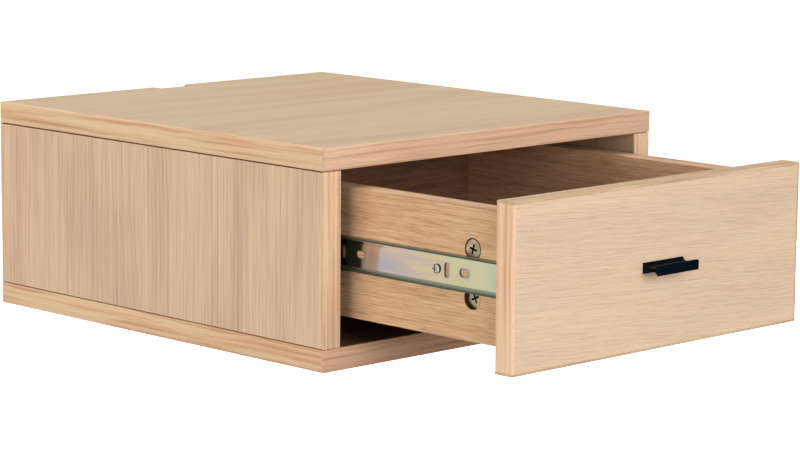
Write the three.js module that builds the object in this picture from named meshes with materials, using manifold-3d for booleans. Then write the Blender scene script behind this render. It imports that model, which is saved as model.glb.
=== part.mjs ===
// Wall-hung nightstand of veneered board with one drawer on ball-bearing slides.
// Millimetres, +Z up, +X to the right, front towards -Y, wall plane at y = 0.
// The origin is the middle of the bottom panel's rear edge, half way up the board.
// The drawer is drawn pulled out as far as its first slide stage goes.

import * as THREE from "three";
import { mergeVertices } from "three/addons/utils/BufferGeometryUtils.js";
import Module from "manifold-3d";

// Carcass
const width = 377;
const depth = 408;
const sideHeight = 139;
const board = 18;
const bandThickness = 2;
const easedEdge = 0.75;
const jointGapHeight = 0.5;
const jointGapDepth = 2.5;
const notchWidth = 36;
const notchDepth = 11;
const backThickness = 6;
const backRecess = 16;
const grooveDepth = 5.25;
const grooveSlack = 0.25;

// Dowels of the carcass joints
const dowelDiameter = 8;
const dowelLength = 30;
const dowelInPanel = 11;
const dowelSetback = 68;
const dowelSlack = 0.2;

// Keyhole hanger plates in the rear edges of the side panels
const hangerWidth = 14;
const hangerHeight = 44;
const hangerThickness = 1.5;
const hangerBelowTop = 30;
const hangerSlack = 0.25;
const keyholeEntry = 9.5;
const keyholeNeck = 5;
const keyholeRise = 15;
const keyholePocket = 11;
const keyholePocketDepth = 10;
const barbDiameter = 3;
const barbLength = 8;
const barbInset = 4;

// Drawer
const frontGapSide = 4.5;
const frontGapBelow = 3.5;
const frontHeight = 130;
const drawerRise = 22;
const drawerHeight = 102;
const drawerBandThickness = 1;
const drawerBackInset = 4.5;
const housingDepth = 6;
const drawerFloorThickness = 6;
const drawerFloorRise = 10;
const pulled = 179;

// Ball-bearing slides
const slideThickness = 12.75;
const slideLength = 350;
const slideSetback = 1;
const middleShorter = 14;
const sheet = 1.25;
const cabinetMemberHeight = 45.5;
const middleMemberHeight = 35;
const drawerMemberHeight = 26.5;
const cabinetFlange = 11.25;
const middleWebAt = 3.5;
const middleFlangeEnd = 11.25;
const drawerFlange = 6.5;
const bendRun = 0.75;
const bendRise = 0.75;
const drawerBendRun = 1;
const drawerBendRise = 2.5;
const outerBall = 4.5;
const outerBallAt = 6.75;
const innerBall = 3.5;
const innerBallAt = 9.375;
const ballClearance = 0.05;
const cageSheet = 0.6;
const cageLength = 140;
const cageWebGap = 0.3;
const cageLip = 3;
const cagePitch = 28;
const webSlotWidth = 10.25;
const webSlotHeight = 6;
const uprightSlotWidth = 4.25;
const uprightSlotHeight = 11;
const firstSlotAt = 39;
const uprightSlotStep = 18.75;
const screwStep = 29.25;
const slotGroupPitch = 112;
const slotEndMargin = 10;
const cabinetScrewFront = 35;
const cabinetScrewRear = 60;

// Screws
const screwHead = 7.5;
const screwHeadHeight = 2.2;
const flatHead = 7;
const flatHeadHeight = 0.8;
const screwShank = 3.5;
const screwLength = 13;
const screwSlack = 0.15;
const screwCrownShare = 0.7;
const crossWidth = 4.4;
const crossSlot = 1.1;
const crossDepth = 1.2;
const flatCrossDepth = 0.6;

// Cam locks between the drawer sides and the drawer front, the lower one first in each list
const camDiameter = 15;
const camHoleDepth = 13;
const camFromFront = 31.75;
const camRises = [32.75, 70];
const camSeats = [3, 0.25];
const camTurnShares = [-0.067, 0.039];
const camSlack = 0.75;
const camBottomSlack = 0.25;
const camCross = 8;
const camCrossSlot = 1.75;
const camCrossDepth = 1.75;
const camMouth = 7.5;
const camMouthPast = 2;
const boltThread = 5.8;
const boltThreadSlack = 0.25;
const boltInFront = 11;
const boltShank = 7;
const boltNeck = 4;
const boltNeckLength = 5.5;
const boltHead = 6.4;
const boltHeadLength = 3.5;
const boltPastCam = 0.5;
const boltBore = 8;

// Handle
const handleLength = 46;
const handleReach = 17;
const handleFoot = 8.5;
const handleFootThickness = 1.75;
const handleWeb = 2.75;
const handleLip = 8;
const handleLipThickness = 2.5;
const handleEase = 0.75;
const handleScrewSpacing = 32;
const handleScrewShank = 3;
const handleScrewHead = 7;
const handleScrewHeadHeight = 2;
const handleScrewBite = 3;

// Cutting overrun, the gap below which corners are one, and facets of round work
const overrun = 1;
const cornerGap = 0.0001;
const roundFacets = 16;
const arcSteps = 4;
const grooveSteps = 2;

// Heights and planes that the sizes above give
const zUnder = -board / 2;
const zFloor = board / 2;
const zCeiling = zFloor + sideHeight;
const zTop = zCeiling + board;
const innerHalf = width / 2 - board;
const sideMiddle = width / 2 - board / 2;
const drawerHalf = innerHalf - slideThickness;
const drawerInnerHalf = drawerHalf - board;
const frontHalf = innerHalf - frontGapSide;
const frontLow = zFloor + frontGapBelow;
const frontHigh = frontLow + frontHeight;
const frontMiddle = (frontLow + frontHigh) / 2;
const frontBack = -depth + board;
const drawerLength = slideLength;
const drawerLow = zFloor + drawerRise;
const drawerHigh = drawerLow + drawerHeight;
const drawerEnd = frontBack + drawerLength;
const drawerBackRear = drawerEnd - drawerBackInset;
const drawerBackFront = drawerBackRear - board;
const slideMiddle = drawerLow + drawerHeight / 2;
const slideFront = frontBack + slideSetback;
const boltReach = camFromFront + boltPastCam;
const boltHeadAt = boltReach - boltHeadLength;
const boltNeckAt = boltHeadAt - boltNeckLength;
const slotRoom = slideLength - firstSlotAt - screwStep - slotEndMargin;
const slotGroups = 1 + Math.floor(slotRoom / slotGroupPitch);

const wasm = await Module();
wasm.setup();

const finish = (color, roughness, metalness) =>
  new THREE.MeshStandardMaterial({ color, roughness, metalness });
const oak = (color, roughness = 0.6) => finish(color, roughness, 0);
const metal = (color, roughness = 0.35) => finish(color, roughness, 1);
const veneer = oak(0xd1b79a);
const sideVeneer = oak(0xd3b293);
const bandOak = oak(0xdeb897);
const frontVeneer = oak(0xe1c4a6);
const drawerOak = oak(0xb58d68);
const rawBoard = oak(0xb99c78, 0.8);
const dowelWood = oak(0xd9bb8b, 0.7);
const zinc = metal(0xc3c2a4);
const screwSteel = metal(0xb9b7ae);
const camZinc = metal(0xafa587, 0.4);
const cageSteel = metal(0xa7a9a6);
const blackMetal = finish(0x14161c, 0.45, 0.3);

// Solids from three.js geometry

function toSolid(geometry) {
  const bare = geometry.clone();
  bare.deleteAttribute("normal");
  bare.deleteAttribute("uv");
  const merged = mergeVertices(bare, cornerGap);
  const source = merged.index.array;
  const kept = [];
  for (let i = 0; i < source.length; i += 3) {
    const [a, b, c] = [source[i], source[i + 1], source[i + 2]];
    if (a !== b && b !== c && c !== a) kept.push(a, b, c);
  }
  const vertProperties = new Float32Array(merged.attributes.position.array);
  const triVerts = new Uint32Array(kept);
  return new wasm.Manifold(new wasm.Mesh({ numProp: 3, vertProperties, triVerts }));
}

function block(xs, ys, zs) {
  const geometry = new THREE.BoxGeometry(xs[1] - xs[0], ys[1] - ys[0], zs[1] - zs[0]);
  geometry.translate((xs[0] + xs[1]) / 2, (ys[0] + ys[1]) / 2, (zs[0] + zs[1]) / 2);
  return toSolid(geometry);
}

const alongX = new THREE.Matrix4().set(0, 0, 1, 0, 1, 0, 0, 0, 0, 1, 0, 0, 0, 0, 0, 1);
const alongY = new THREE.Matrix4().set(1, 0, 0, 0, 0, 0, -1, 0, 0, 1, 0, 0, 0, 0, 0, 1);
const alongZ = new THREE.Matrix4();

// Extrudes an outline between two places on an axis. Outlines are drawn in
// (y, z) along X, in (x, z) along Y and in (x, y) along Z.
function prism(outline, axis, from, to) {
  const options = { depth: to - from, bevelEnabled: false };
  const geometry = new THREE.ExtrudeGeometry(new THREE.Shape(outline), options);
  geometry.applyMatrix4(axis);
  if (axis === alongX) geometry.translate(from, 0, 0);
  if (axis === alongY) geometry.translate(0, to, 0);
  if (axis === alongZ) geometry.translate(0, 0, from);
  return toSolid(geometry);
}

// Turns a profile of (radius, height) pairs about an axis through a point.
function turned(profile, direction, at) {
  const points = profile.map(([r, h]) => new THREE.Vector2(r, h));
  const geometry = new THREE.LatheGeometry(points, roundFacets);
  const up = new THREE.Vector3(0, 1, 0);
  const turn = new THREE.Quaternion().setFromUnitVectors(up, new THREE.Vector3(...direction));
  geometry.applyQuaternion(turn);
  geometry.translate(...at);
  return toSolid(geometry);
}

function rod(diameter, length, direction, at) {
  const r = diameter / 2;
  return turned([[0, 0], [r, 0], [r, length], [0, length]], direction, at);
}

function less(solid, ...tools) {
  return tools.reduce((rest, tool) => rest.subtract(tool), solid);
}

function joined(solid, ...others) {
  return others.reduce((sum, other) => sum.add(other), solid);
}

// Adds a solid to a group as a named mesh placed at the middle of its box.
function piece(group, name, material, solid) {
  const { vertProperties, triVerts } = solid.getMesh();
  const geometry = new THREE.BufferGeometry();
  geometry.setAttribute("position", new THREE.BufferAttribute(new Float32Array(vertProperties), 3));
  geometry.setIndex(new THREE.BufferAttribute(new Uint32Array(triVerts), 1));
  geometry.computeBoundingBox();
  const middle = geometry.boundingBox.getCenter(new THREE.Vector3());
  geometry.translate(-middle.x, -middle.y, -middle.z);
  geometry.computeVertexNormals();
  const mesh = new THREE.Mesh(geometry, material);
  mesh.name = name;
  mesh.position.copy(middle);
  group.add(mesh);
}

const sides = [["left", -1], ["right", 1]];
const span = (a, b) => (a < b ? [a, b] : [b, a]);

// Outlines

// Band section: core face at n = 0, outer face at n = thickness, eased outer arrises.
function bandOutline(thickness, low, high, place) {
  const ease = Math.min(easedEdge, thickness);
  const points = [[0, low]];
  for (let i = 0; i <= arcSteps; i++) {
    const turn = (i / arcSteps) * Math.PI / 2;
    points.push([thickness - ease + ease * Math.sin(turn), low + ease - ease * Math.cos(turn)]);
  }
  for (let i = 0; i <= arcSteps; i++) {
    const turn = (i / arcSteps) * Math.PI / 2;
    points.push([thickness - ease + ease * Math.cos(turn), high - ease + ease * Math.sin(turn)]);
  }
  points.push([0, high]);
  return points.map(([n, t]) => new THREE.Vector2(...place(n, t)));
}

function obround(length, thickness, upright) {
  const r = thickness / 2;
  const reach = (length - thickness) / 2;
  const points = [];
  const steps = roundFacets / 2;
  for (const end of [1, -1]) {
    for (let i = 0; i <= steps; i++) {
      const turn = (end > 0 ? -Math.PI / 2 : Math.PI / 2) + (i / steps) * Math.PI;
      const a = end * reach + r * Math.cos(turn);
      const b = r * Math.sin(turn);
      points.push(upright ? [-b, a] : [a, b]);
    }
  }
  return points;
}

// Two crossed bars, turned by a share of a full turn.
function crossedBars(reach, thickness, turnShare) {
  return [0, Math.PI / 2].map((quarter) => {
    const turn = quarter + turnShare * 2 * Math.PI;
    const corners = [[1, 1], [-1, 1], [-1, -1], [1, -1]].map(([a, b]) => [a * reach / 2, b * thickness / 2]);
    return corners.map(([a, b]) => [
      a * Math.cos(turn) - b * Math.sin(turn),
      a * Math.sin(turn) + b * Math.cos(turn),
    ]);
  });
}

const movedOutline = (points, a, b) => points.map(([p, q]) => new THREE.Vector2(p + a, q + b));

// Closed outline of a strip of sheet bent along a centre line.
function bentStrip(line, thickness) {
  const normalAt = (i) => {
    const [a, b] = [line[i], line[i + 1]];
    const length = Math.hypot(b[0] - a[0], b[1] - a[1]);
    return [-(b[1] - a[1]) / length, (b[0] - a[0]) / length];
  };
  const offset = (side) => line.map(([p, q], i) => {
    const before = normalAt(Math.max(i - 1, 0));
    const after = normalAt(Math.min(i, line.length - 2));
    const sum = [before[0] + after[0], before[1] + after[1]];
    const scale = side * thickness / (sum[0] * sum[0] + sum[1] * sum[1]);
    return [p + sum[0] * scale, q + sum[1] * scale];
  });
  return [...offset(1), ...offset(-1).reverse()];
}

// Centre line of an upper flange at height level, with ball grooves as arcs.
// Each groove is { at, radius, sink, way }: way 1 bulges up, -1 dips down.
function flangeLine(from, to, level, grooves) {
  const points = [[from, level]];
  const forward = Math.sign(to - from);
  for (const { at, radius, sink, way } of grooves) {
    const sweep = Math.acos((radius - sink) / radius);
    for (let i = -grooveSteps; i <= grooveSteps; i++) {
      const turn = (i / grooveSteps) * sweep;
      const rise = sink - radius + radius * Math.cos(turn);
      points.push([at + forward * radius * Math.sin(turn), level + way * rise]);
    }
  }
  points.push([to, level]);
  return points;
}

// Channel section: a web at webAt and two like flanges that run to flangeEnd,
// with a sloping bend between them.
function channelLine(webAt, flangeEnd, level, grooves, run = bendRun, rise = bendRise) {
  const way = Math.sign(flangeEnd - webAt);
  const upper = flangeLine(webAt + way * run, flangeEnd, level, grooves);
  const lower = upper.map(([u, v]) => [u, -v]).reverse();
  return [...lower, [webAt, -level + rise], [webAt, level - rise], ...upper];
}

// Carcass

const nightstand = new THREE.Group();
const carcass = new THREE.Group();
nightstand.add(carcass);

const backFront = -backRecess - backThickness;
const backGroove = [backFront - grooveSlack / 2, -backRecess + grooveSlack / 2];
const bandedHalf = width / 2 - bandThickness;
const bandedFront = -depth + bandThickness;
const dowelAt = -depth + dowelSetback;
const dowelDrop = dowelLength - dowelInPanel;

function dowelHole(way, boundary) {
  const low = boundary - dowelDrop - dowelSlack;
  const length = dowelLength + 2 * dowelSlack;
  const start = way > 0 ? low : boundary - dowelInPanel - dowelSlack;
  return (x) => rod(dowelDiameter + 2 * dowelSlack, length, [0, 0, 1], [x, dowelAt, start]);
}

const levels = [
  { name: "top", low: zCeiling, high: zTop, inner: zCeiling, hole: dowelHole(1, zCeiling) },
  { name: "bottom", low: zUnder, high: zFloor, inner: zFloor, hole: dowelHole(-1, zFloor) },
];

for (const { name, low, high, inner, hole } of levels) {
  const grooveHalf = innerHalf + grooveDepth;
  const cuts = [
    block([-grooveHalf, grooveHalf], backGroove, [inner - grooveDepth, inner + grooveDepth]),
    hole(-sideMiddle),
    hole(sideMiddle),
  ];
  if (name === "top") {
    const notch = [-notchWidth / 2, notchWidth / 2];
    cuts.push(block(notch, [-notchDepth, overrun], [low - overrun, high + overrun]));
  }
  const core = block([-bandedHalf, bandedHalf], [bandedFront, 0], [low, high]);
  piece(carcass, `${name}_panel`, veneer, less(core, ...cuts));
  const frontSection = bandOutline(bandThickness, low, high, (n, t) => [bandedFront - n, t]);
  piece(carcass, `${name}_band_front`, bandOak, prism(frontSection, alongX, -width / 2, width / 2));
  for (const [side, way] of sides) {
    const section = bandOutline(bandThickness, low, high, (n, t) => [way * (bandedHalf + n), t]);
    piece(carcass, `${name}_band_${side}`, bandOak, prism(section, alongY, bandedFront, 0));
  }
}

const cabinetScrews = [slideFront + cabinetScrewFront, slideFront + slideLength - cabinetScrewRear];
const hangerMiddle = zCeiling - hangerBelowTop;
const keyholeLow = -keyholeRise / 2;

for (const [side, way] of sides) {
  const inner = way * innerHalf;
  const outer = way * width / 2;
  const hangerAt = [way * sideMiddle, hangerMiddle];
  const seat = obround(hangerHeight + 2 * hangerSlack, hangerWidth + 2 * hangerSlack, true);
  const pocket = obround(keyholeRise + keyholePocket, keyholePocket, true);
  const barbs = [1, -1].map((end) => hangerMiddle + end * (hangerHeight / 2 - barbInset));
  const grooveAcross = span(inner - way * overrun, inner + way * grooveDepth);
  const gapAcross = span(outer - way * jointGapDepth, outer + way * overrun);
  const gapAlong = [bandedFront - overrun, overrun];
  const cuts = [
    block(grooveAcross, backGroove, [zFloor - overrun, zCeiling + overrun]),
    block(gapAcross, gapAlong, [zCeiling - jointGapHeight, zCeiling + overrun]),
    block(gapAcross, gapAlong, [zFloor - overrun, zFloor + jointGapHeight]),
    prism(movedOutline(seat, ...hangerAt), alongY, -hangerThickness, overrun),
    prism(movedOutline(pocket, ...hangerAt), alongY, -hangerThickness - keyholePocketDepth, overrun),
    ...barbs.map((z) => rod(barbDiameter + 2 * hangerSlack, barbLength + hangerThickness + hangerSlack,
      [0, -1, 0], [hangerAt[0], 0, z])),
    ...cabinetScrews.map((y) => rod(screwShank + 2 * screwSlack, screwLength + screwSlack,
      [way, 0, 0], [inner - way * overrun, y, slideMiddle])),
    ...levels.map(({ hole }) => hole(way * sideMiddle)),
  ];
  const core = block(span(inner, outer), [bandedFront, 0], [zFloor, zCeiling]);
  piece(carcass, `side_panel_${side}`, sideVeneer, less(core, ...cuts));

  const section = bandOutline(bandThickness, ...span(inner, outer), (n, t) => [t, bandedFront - n]);
  const sideBand = prism(section, alongZ, zFloor + jointGapHeight, zCeiling - jointGapHeight);
  piece(carcass, `side_band_${side}`, bandOak, sideBand);

  for (const { name, inner: boundary } of levels) {
    const start = name === "top" ? boundary - dowelDrop : boundary - dowelInPanel;
    const dowel = rod(dowelDiameter, dowelLength, [0, 0, 1], [way * sideMiddle, dowelAt, start]);
    piece(carcass, `dowel_${name}_${side}`, dowelWood, dowel);
  }

  const plate = joined(
    prism(movedOutline(obround(hangerHeight, hangerWidth, true), ...hangerAt), alongY, -hangerThickness, 0),
    ...barbs.map((z) => rod(barbDiameter, barbLength + hangerThickness / 2, [0, -1, 0],
      [hangerAt[0], -hangerThickness / 2, z])),
  );
  const entry = rod(keyholeEntry, hangerThickness + 2 * overrun, [0, -1, 0],
    [hangerAt[0], overrun, hangerMiddle + keyholeLow]);
  const neck = prism(movedOutline(obround(keyholeRise + keyholeNeck, keyholeNeck, true), ...hangerAt),
    alongY, -hangerThickness - overrun, overrun);
  piece(carcass, `hanger_plate_${side}`, screwSteel, less(plate, entry, neck));
}

const backHalf = innerHalf + grooveDepth - grooveSlack;
const backLow = zFloor - grooveDepth + grooveSlack;
const backHigh = zCeiling + grooveDepth - grooveSlack;
const backSolid = block([-backHalf, backHalf], [backFront, -backRecess], [backLow, backHigh]);
piece(carcass, "back_panel", veneer, backSolid);

// Slides. The section is drawn in (u, v): u from the cabinet side towards the
// drawer, v up from the slide's middle.

const middleSlides = new THREE.Group();
const outerCages = new THREE.Group();
const innerCages = new THREE.Group();
const drawer = new THREE.Group();
nightstand.add(middleSlides, outerCages, innerCages, drawer);
drawer.position.y = -pulled;
innerCages.position.y = -pulled / 2;

const cabinetLevel = cabinetMemberHeight / 2 - sheet / 2;
const middleLevel = middleMemberHeight / 2 - sheet / 2;
const drawerLevel = drawerMemberHeight / 2 - sheet / 2;
const outerGap = cabinetLevel - middleLevel - sheet;
const innerGap = middleLevel - drawerLevel - sheet;

function groove(ball, gap, at, way) {
  const radius = ball / 2 + ballClearance + sheet / 2;
  const sink = (ball + 2 * ballClearance - gap) / 2;
  return { at, way, radius, sink };
}

const cabinetLine = channelLine(sheet / 2, cabinetFlange, cabinetLevel,
  [groove(outerBall, outerGap, outerBallAt, 1)]);
const middleLine = channelLine(middleWebAt + sheet / 2, middleFlangeEnd, middleLevel,
  [groove(outerBall, outerGap, outerBallAt, -1), groove(innerBall, innerGap, innerBallAt, 1)]);
const drawerLine = channelLine(slideThickness - sheet / 2, slideThickness - drawerFlange, drawerLevel,
  [groove(innerBall, innerGap, innerBallAt, -1)], drawerBendRun, drawerBendRise);
const outerCageLevel = (cabinetLevel + middleLevel) / 2;
const innerCageLevel = (middleLevel + drawerLevel) / 2;
const outerCageWeb = middleWebAt - cageWebGap - cageSheet / 2;
const innerCageWeb = middleWebAt + sheet + cageWebGap + cageSheet / 2;
const outerCageLine = channelLine(outerCageWeb, outerBallAt + cageLip, outerCageLevel, []);
const innerCageLine = channelLine(innerCageWeb, innerBallAt + cageLip / 2, innerCageLevel, []);

// Places a slide section on one side of the carcass and extrudes it along Y.
function slideBar(line, thickness, way, from, length) {
  const outline = bentStrip(line, thickness);
  const placed = outline.map(([u, v]) => new THREE.Vector2(way * (innerHalf - u), slideMiddle + v));
  return prism(placed, alongY, from, from + length);
}

function ballRow(way, at, level, ball, middle) {
  const balls = [];
  const count = Math.floor((cageLength - cagePitch / 2) / cagePitch);
  for (const row of [1, -1]) {
    for (let i = 0; i < count; i++) {
      const sphere = new THREE.SphereGeometry(ball / 2, roundFacets / 2, roundFacets / 2);
      const y = middle + (i - (count - 1) / 2) * cagePitch;
      sphere.translate(way * (innerHalf - at), y, slideMiddle + row * level);
      balls.push(toSolid(sphere));
    }
  }
  return balls;
}

// Screw along X or Y: head on the seat face, shank beyond it.
function screw(way, seat, head, headHeight, shank, length, cross) {
  const direction = way.map((v) => -v);
  const r = head / 2;
  const rim = headHeight / 2;
  const profile = [[0, -headHeight], [r * screwCrownShare, -headHeight], [r, -rim], [r, 0], [shank / 2, 0],
    [shank / 2, length - shank], [0, length]];
  const body = turned(profile, direction, seat);
  const top = seat.map((v, i) => v + way[i] * headHeight);
  return less(body, ...crossRecess(way, top, cross.width, cross.slot, cross.depth));
}

// Two crossed slots sunk into a face that looks along way.
function crossRecess(way, face, reach, slot, sunk) {
  const along = way.findIndex((v) => v !== 0);
  return [1, 2].map((turn) => {
    const long = (along + turn) % 3;
    const ranges = face.map((v, i) => {
      if (i === along) return span(v - way[i] * sunk, v + way[i] * overrun);
      const half = i === long ? reach / 2 : slot / 2;
      return [v - half, v + half];
    });
    return block(...ranges);
  });
}

const panCross = { width: crossWidth, slot: crossSlot, depth: crossDepth };
const flatCross = { width: crossWidth, slot: crossSlot, depth: flatCrossDepth };
const firstScrewAt = frontBack + firstSlotAt + screwStep;
const drawerScrews = [firstScrewAt, firstScrewAt + (slotGroups - 1) * slotGroupPitch];
const middleLength = slideLength - middleShorter;
const cageStart = slideFront + (middleLength - cageLength) / 2;

for (const [side, way] of sides) {
  const atWall = way * innerHalf;
  const cabinetBar = slideBar(cabinetLine, sheet, way, slideFront, slideLength);
  const cabinetHoles = cabinetScrews.map((y) => rod(screwShank + 2 * screwSlack, sheet + 2 * overrun,
    [-way, 0, 0], [atWall + way * overrun, y, slideMiddle]));
  piece(carcass, `cabinet_member_${side}`, zinc, less(cabinetBar, ...cabinetHoles));
  cabinetScrews.forEach((y, i) => {
    const seat = [atWall - way * sheet, y, slideMiddle];
    const body = screw([-way, 0, 0], seat, flatHead, flatHeadHeight, screwShank, screwLength, flatCross);
    piece(carcass, `cabinet_screw_${side}_${i === 0 ? "front" : "rear"}`, screwSteel, body);
  });

  const middleBar = slideBar(middleLine, sheet, way, slideFront, middleLength);
  piece(middleSlides, `middle_member_${side}`, zinc, middleBar);

  const outerCage = slideBar(outerCageLine, cageSheet, way, cageStart, cageLength);
  const outerBalls = ballRow(way, outerBallAt, outerCageLevel, outerBall, cageStart + cageLength / 2);
  piece(outerCages, `outer_ball_cage_${side}`, cageSteel, joined(outerCage, ...outerBalls));
  const innerCage = slideBar(innerCageLine, cageSheet, way, cageStart, cageLength);
  const innerBalls = ballRow(way, innerBallAt, innerCageLevel, innerBall, cageStart + cageLength / 2);
  piece(innerCages, `inner_ball_cage_${side}`, cageSteel, joined(innerCage, ...innerBalls));

  const webCuts = [];
  const webSpan = [way * (drawerHalf - overrun), way * (drawerHalf + sheet + overrun)];
  for (let i = 0; i < slotGroups; i++) {
    const first = frontBack + firstSlotAt + i * slotGroupPitch;
    const slots = [
      [first, obround(webSlotWidth, webSlotHeight, false)],
      [first + uprightSlotStep, obround(uprightSlotHeight, uprightSlotWidth, true)],
    ];
    for (const [y, outline] of slots) {
      webCuts.push(prism(movedOutline(outline, y, slideMiddle), alongX, ...span(...webSpan)));
    }
    webCuts.push(rod(screwShank + 2 * screwSlack, sheet + 2 * overrun, [way, 0, 0],
      [way * (drawerHalf - overrun), first + screwStep, slideMiddle]));
  }
  const drawerBar = slideBar(drawerLine, sheet, way, slideFront, slideLength);
  piece(drawer, `drawer_member_${side}`, zinc, less(drawerBar, ...webCuts));
  drawerScrews.forEach((y, i) => {
    const seat = [way * (drawerHalf + sheet), y, slideMiddle];
    const body = screw([way, 0, 0], seat, screwHead, screwHeadHeight, screwShank, screwLength, panCross);
    piece(drawer, `drawer_screw_${side}_${i === 0 ? "front" : "rear"}`, screwSteel, body);
  });
}

// Drawer, drawn closed: its group is pulled out

const floorLow = drawerLow + drawerFloorRise;
const floorGroove = [floorLow - grooveSlack / 2, floorLow + drawerFloorThickness + grooveSlack / 2];
const frontCoreHalf = frontHalf - bandThickness;
const handleScrews = [-handleScrewSpacing / 2, handleScrewSpacing / 2];
const boltAt = (way, rise) => [way * (drawerHalf - board / 2), frontBack, drawerLow + rise];
const boltProfile = [[0, -boltInFront], [boltThread / 2, -boltInFront], [boltThread / 2, 0],
  [boltShank / 2, 0], [boltShank / 2, boltNeckAt], [boltNeck / 2, boltNeckAt],
  [boltNeck / 2, boltHeadAt], [boltHead / 2, boltHeadAt], [boltHead / 2, boltReach], [0, boltReach]];

const frontCuts = [
  block([-drawerInnerHalf - housingDepth, drawerInnerHalf + housingDepth],
    [frontBack - housingDepth, frontBack + overrun], floorGroove),
  ...handleScrews.map((x) => rod(handleScrewShank + 2 * screwSlack, board + 2 * overrun, [0, -1, 0],
    [x, frontBack + overrun, frontMiddle])),
];
for (const [, way] of sides) {
  for (const rise of camRises) {
    const [x, y, z] = boltAt(way, rise);
    frontCuts.push(rod(boltThread + 2 * boltThreadSlack, boltInFront + boltThreadSlack + overrun,
      [0, -1, 0], [x, y + overrun, z]));
  }
}
const frontCore = block([-frontCoreHalf, frontCoreHalf], [-depth, frontBack],
  [frontLow + bandThickness, frontHigh - bandThickness]);
piece(drawer, "drawer_front", frontVeneer, less(frontCore, ...frontCuts));

const edgeSection = (start, way) =>
  bandOutline(bandThickness, -depth, frontBack, (n, t) => [t, start + way * n]);
const topSection = edgeSection(frontHigh - bandThickness, 1);
const lowSection = edgeSection(frontLow + bandThickness, -1);
piece(drawer, "drawer_front_band_top", bandOak, prism(topSection, alongX, -frontHalf, frontHalf));
piece(drawer, "drawer_front_band_bottom", bandOak, prism(lowSection, alongX, -frontHalf, frontHalf));

for (const [side, way] of sides) {
  const section = bandOutline(bandThickness, -depth, frontBack, (n, t) => [way * (frontCoreHalf + n), t]);
  const band = prism(section, alongZ, frontLow + bandThickness, frontHigh - bandThickness);
  piece(drawer, `drawer_front_band_${side}`, bandOak, band);

  const outer = way * drawerHalf;
  const inner = way * drawerInnerHalf;
  const coreHigh = drawerHigh - drawerBandThickness;
  const housing = span(inner - way * overrun, inner + way * housingDepth);
  const cuts = [
    block(housing, [frontBack - overrun, drawerBackFront], floorGroove),
    block(housing, [drawerBackFront - grooveSlack, drawerBackRear + grooveSlack],
      [drawerLow - overrun, coreHigh + overrun]),
    ...drawerScrews.map((y) => rod(screwShank + 2 * screwSlack, screwLength + screwSlack, [-way, 0, 0],
      [outer + way * overrun, y, slideMiddle])),
  ];
  for (const [i, rise] of camRises.entries()) {
    const [boltX, , z] = boltAt(way, rise);
    const camY = frontBack + camFromFront;
    const camFace = outer - way * camSeats[i];
    const camHeight = camHoleDepth - camBottomSlack - camSeats[i];
    cuts.push(rod(camDiameter + 2 * camSlack, camHoleDepth + overrun, [-way, 0, 0],
      [outer + way * overrun, camY, z]));
    cuts.push(rod(boltBore, camFromFront + overrun, [0, 1, 0], [boltX, frontBack - overrun, z]));

    const mouth = block(span(boltX - way * camMouth / 2, boltX + way * camMouth / 2),
      [camY - camDiameter, camY + camMouthPast], [z - camMouth / 2, z + camMouth / 2]);
    const camBody = rod(camDiameter, camHeight, [-way, 0, 0], [camFace, camY, z]);
    const crossSpan = span(camFace + way * overrun, camFace - way * camCrossDepth);
    const cross = crossedBars(camCross, camCrossSlot, camTurnShares[i])
      .map((bar) => prism(movedOutline(bar, camY, z), alongX, ...crossSpan));
    const level = i === 0 ? "lower" : "upper";
    piece(drawer, `cam_${side}_${level}`, camZinc, less(camBody, mouth, ...cross));

    const bolt = turned(boltProfile, [0, 1, 0], [boltX, frontBack, z]);
    piece(drawer, `cam_bolt_${side}_${level}`, screwSteel, bolt);
  }
  const core = block(span(inner, outer), [frontBack, drawerEnd], [drawerLow, coreHigh]);
  piece(drawer, `drawer_side_${side}`, drawerOak, less(core, ...cuts));
  const topBand = bandOutline(drawerBandThickness, ...span(inner, outer), (n, t) => [t, coreHigh + n]);
  piece(drawer, `drawer_side_band_${side}`, bandOak, prism(topBand, alongY, frontBack, drawerEnd));
}

const backInHousing = drawerInnerHalf + housingDepth - grooveSlack;
const drawerBackCore = block([-backInHousing, backInHousing], [drawerBackFront, drawerBackRear],
  [drawerLow, drawerHigh - drawerBandThickness - grooveSlack]);
const drawerBackGroove = block([-drawerHalf, drawerHalf],
  [drawerBackFront - overrun, drawerBackFront + housingDepth], floorGroove);
piece(drawer, "drawer_back", drawerOak, less(drawerBackCore, drawerBackGroove));
piece(drawer, "drawer_bottom", rawBoard, block(
  [-backInHousing, backInHousing],
  [frontBack - housingDepth + grooveSlack, drawerBackFront + housingDepth - grooveSlack],
  [floorLow, floorLow + drawerFloorThickness],
));

// Handle of waisted I-section, drawn in (y, z) from its foot on the front's face.
function handleOutline() {
  const foot = handleFoot / 2;
  const web = handleWeb / 2;
  const lip = handleLip / 2;
  const footFillet = foot - web;
  const lipFillet = lip - web;
  const half = [[0, foot]];
  half.push([handleFootThickness - handleEase, foot], [handleFootThickness, foot - handleEase]);
  for (let i = 1; i <= arcSteps; i++) {
    const turn = (i / arcSteps) * Math.PI / 2;
    const drop = (footFillet - handleEase) * Math.sin(turn);
    half.push([handleFootThickness + footFillet * (1 - Math.cos(turn)), foot - handleEase - drop]);
  }
  for (let i = 0; i <= arcSteps; i++) {
    const turn = (i / arcSteps) * Math.PI / 2;
    const reach = handleReach - handleLipThickness - lipFillet * Math.cos(turn);
    half.push([reach, web + (lipFillet - handleEase) * (1 - Math.sin(Math.PI / 2 - turn))]);
  }
  half.push([handleReach - handleLipThickness + handleEase, lip], [handleReach - handleEase, lip]);
  half.push([handleReach, lip - handleEase]);
  const mirror = half.map(([n, t]) => [n, -t]).reverse();
  return [...half, ...mirror].map(([n, t]) => new THREE.Vector2(-depth - n, frontMiddle + t));
}

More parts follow.
